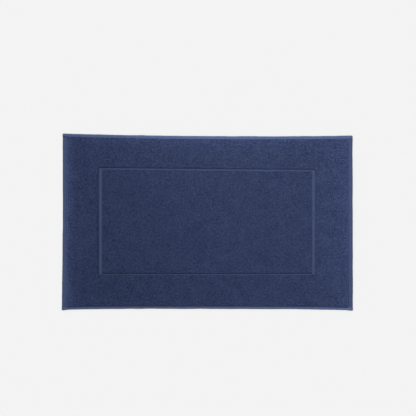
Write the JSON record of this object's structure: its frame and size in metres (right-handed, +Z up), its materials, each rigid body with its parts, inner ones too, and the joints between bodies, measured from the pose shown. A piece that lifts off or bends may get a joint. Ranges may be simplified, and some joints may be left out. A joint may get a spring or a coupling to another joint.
{
  "type": "bath mat",
  "caption": "Rectangular terry bath mat with looped pile on both sides, a flat-woven frame sunk into the pile, and turned, stitched hems with thick folded corners.",
  "frame": {"origin": "on the floor, under the middle of the mat", "axes": "+X along the mat's length, +Y across its width, +Z up out of the upper side"},
  "size_m": [1, 0.6, 0.0074],
  "materials": {
    "terry_loops": "matte",
    "flat_weave": "matte",
    "sewing_thread": "satin",
    "label_ribbon": "satin"
  },
  "bodies": {
    "root": {"ground_cloth": "flat_weave", "border_pile_top": "terry_loops", "centre_pile_top": "terry_loops", "border_pile_under": "terry_loops", "centre_pile_under": "terry_loops", "hem_left": "flat_weave", "hem_right": "flat_weave", "hem_front": "flat_weave", "hem_rear": "flat_weave", "needle_thread_left": "sewing_thread", "needle_thread_right": "sewing_thread", "needle_thread_front": "sewing_thread", "needle_thread_rear": "sewing_thread", "bobbin_thread_left": "sewing_thread", "bobbin_thread_right": "sewing_thread", "bobbin_thread_front": "sewing_thread", "bobbin_thread_rear": "sewing_thread", "corner_back_tacks": "sewing_thread", "care_label": "label_ribbon"}
  },
  "joints": []
}
